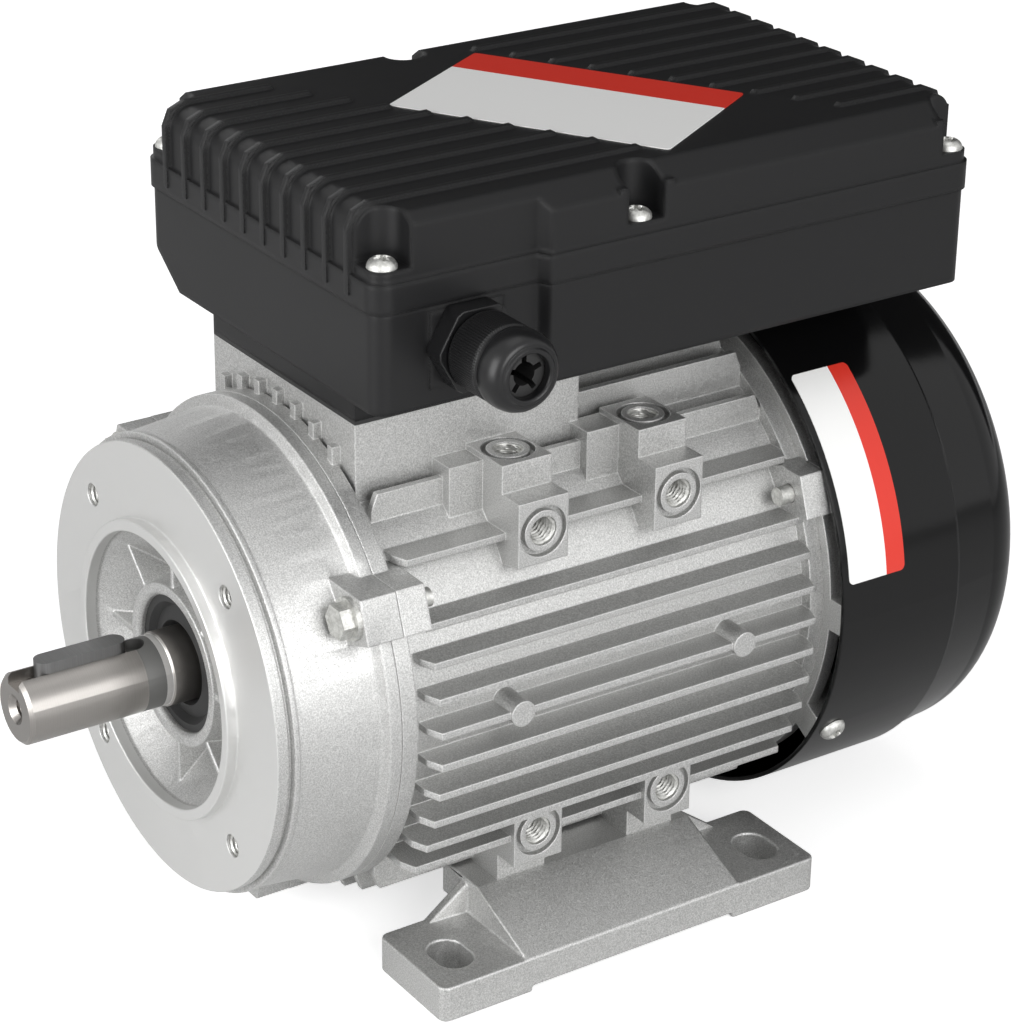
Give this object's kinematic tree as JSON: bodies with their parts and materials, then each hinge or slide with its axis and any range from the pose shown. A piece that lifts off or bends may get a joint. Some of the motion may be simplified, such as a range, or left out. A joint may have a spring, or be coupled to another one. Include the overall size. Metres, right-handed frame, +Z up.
{
  "type": "single-phase electric motor",
  "caption": "Finned aluminium induction motor with feet, a small face flange, a keyed shaft, a capacitor box with a cable gland on top and a fan under a black cowl.",
  "frame": {"origin": "centre of the flange's mating face, on the shaft axis", "axes": "-Y out along the shaft, +Z up from the feet to the terminal box, +X the side of the gland"},
  "size_m": [0.1609, 0.2735, 0.2142],
  "materials": {
    "cast_aluminium": "as cast, fine grain",
    "shaft_steel": "ground",
    "bearing_steel": "polished",
    "zinc_screws": "zinc plated",
    "brass_terminals": "bright",
    "black_rubber": "matt",
    "cage_plastic": "moulded nylon",
    "core_steel": "stacked sheets",
    "copper_winding": "varnished wire",
    "rotor_aluminium": "cast",
    "black_plastic": "fine satin",
    "gland_plastic": "moulded nylon",
    "fan_plastic": "moulded",
    "cowl_black": "glossy paint",
    "capacitor_white": "moulded",
    "capacitor_black": "moulded"
  },
  "bodies": {
    "stator": {"stator_frame": "cast_aluminium", "front_endshield": "cast_aluminium", "rear_endshield": "cast_aluminium", "foot_right": "cast_aluminium", "foot_left": "cast_aluminium", "foot_screws": "zinc_screws", "front_ear_screws": "zinc_screws", "rear_ear_screws": "zinc_screws", "shaft_seal": "black_rubber", "front_bearing_outer_ring": "bearing_steel", "rear_bearing_outer_ring": "bearing_steel", "bearing_shields": "black_rubber", "wave_washer": "zinc_screws", "stator_core": "core_steel", "stator_winding": "copper_winding", "switch_plate": "fan_plastic", "switch_screws": "zinc_screws", "fan_cowl": "cowl_black", "cowl_screws": "zinc_screws", "terminal_box_base": "black_plastic", "terminal_box_gasket": "black_rubber", "terminal_box_cover": "black_plastic", "cover_gasket": "black_rubber", "cover_screws": "zinc_screws", "base_screws": "zinc_screws", "gland_body": "gland_plastic", "gland_locknut": "gland_plastic", "gland_seal": "black_rubber", "gland_cap": "gland_plastic", "terminal_board": "fan_plastic", "terminal_studs": "brass_terminals", "terminal_nuts": "brass_terminals", "terminal_links": "brass_terminals", "start_capacitor": "capacitor_black", "run_capacitor": "capacitor_white", "capacitor_clamps": "zinc_screws"},
    "rotor": {"motor_shaft": "shaft_steel", "shaft_key": "shaft_steel", "front_bearing_inner_ring": "bearing_steel", "rear_bearing_inner_ring": "bearing_steel", "rotor_core": "core_steel", "rotor_end_rings": "rotor_aluminium", "governor_plate": "zinc_screws", "rear_v_ring": "black_rubber", "cooling_fan": "fan_plastic", "fan_circlip": "zinc_screws"},
    "front_ball_set": {"front_bearing_balls": "bearing_steel", "front_bearing_cage": "cage_plastic"},
    "rear_ball_set": {"rear_bearing_balls": "bearing_steel", "rear_bearing_cage": "cage_plastic"},
    "governor_sleeve": {"governor_sleeve": "cage_plastic"},
    "governor_weight_upper": {"governor_weight_upper": "zinc_screws"},
    "governor_weight_lower": {"governor_weight_lower": "zinc_screws"}
  },
  "joints": [
    {"name": "rotor_spin", "type": "hinge", "parent": "stator", "child": "rotor", "pos_m": [0, 0, 0], "axis": [0, -1, 0], "continuous": true},
    {"name": "front_cage_spin", "type": "hinge", "parent": "stator", "child": "front_ball_set", "pos_m": [0, 0, 0], "axis": [0, -1, 0], "continuous": true},
    {"name": "rear_cage_spin", "type": "hinge", "parent": "stator", "child": "rear_ball_set", "pos_m": [0, 0, 0], "axis": [0, -1, 0], "continuous": true},
    {"name": "sleeve_slide", "type": "slide", "parent": "rotor", "child": "governor_sleeve", "axis": [0, -1, 0], "range_m": [0, 0.003]},
    {"name": "upper_weight_swing", "type": "hinge", "parent": "rotor", "child": "governor_weight_upper", "pos_m": [0, 0.1505, 0.0205], "axis": [1, 0, 0], "range_deg": [0, 16]},
    {"name": "lower_weight_swing", "type": "hinge", "parent": "rotor", "child": "governor_weight_lower", "pos_m": [0, 0.1505, -0.0205], "axis": [-1, 0, 0], "range_deg": [0, 16]}
  ],
  "couplings": [
    {"joint": "front_cage_spin", "follows": "rotor_spin", "ratio": 0.38209},
    {"joint": "rear_cage_spin", "follows": "rotor_spin", "ratio": 0.38209},
    {"joint": "sleeve_slide", "follows": "upper_weight_swing", "m_per_rad": 0.010742},
    {"joint": "lower_weight_swing", "follows": "upper_weight_swing", "ratio": 1}
  ]
}
